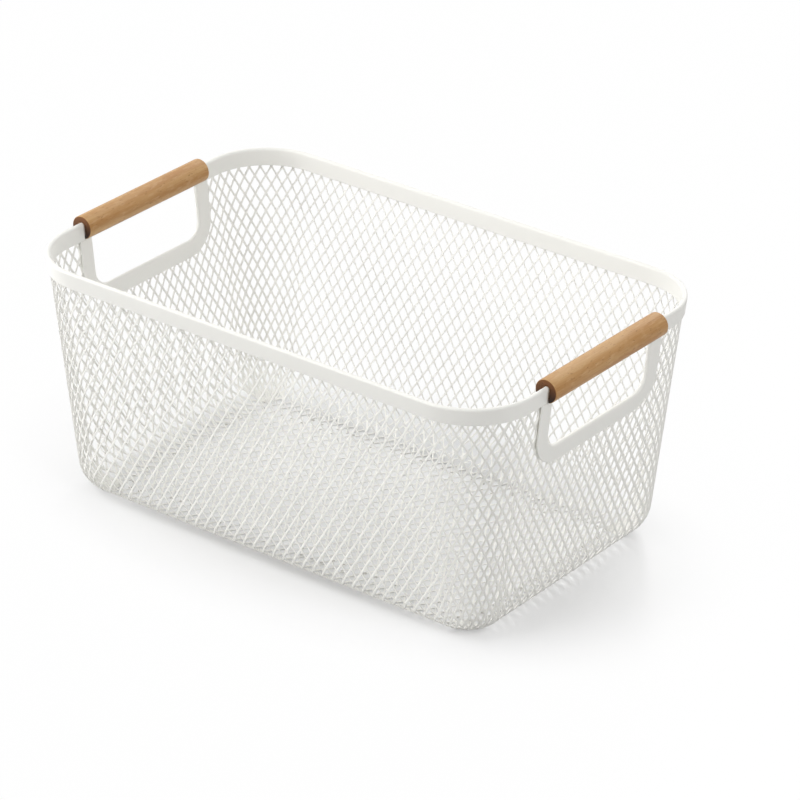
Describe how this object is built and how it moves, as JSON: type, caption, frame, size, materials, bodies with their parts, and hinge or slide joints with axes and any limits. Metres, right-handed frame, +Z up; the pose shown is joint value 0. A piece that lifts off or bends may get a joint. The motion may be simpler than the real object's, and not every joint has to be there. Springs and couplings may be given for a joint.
{
  "type": "mesh storage basket",
  "caption": "Open rectangular storage basket of coated diamond mesh with leaning walls, rounded corners, a folded rim strip and wooden grips over its hand openings",
  "frame": {"origin": "middle of the foot, on the floor under the centre of the basket", "axes": "+X along the long side towards one hand opening, +Y across towards the back wall, +Z up"},
  "size_m": [0.366, 0.2288, 0.1663],
  "materials": {
    "white_coat": "satin",
    "grip_wood": "satin"
  },
  "bodies": {
    "root": {"rim_strip": "white_coat", "front_wall_mesh": "white_coat", "back_wall_mesh": "white_coat", "left_wall_mesh": "white_coat", "right_wall_mesh": "white_coat", "front_bend_mesh": "white_coat", "back_bend_mesh": "white_coat", "left_bend_mesh": "white_coat", "right_bend_mesh": "white_coat", "left_front_corner_mesh": "white_coat", "right_front_corner_mesh": "white_coat", "left_back_corner_mesh": "white_coat", "right_back_corner_mesh": "white_coat", "base_mesh": "white_coat", "left_opening_binding": "white_coat", "right_opening_binding": "white_coat", "left_grip": "grip_wood", "right_grip": "grip_wood"}
  },
  "joints": []
}
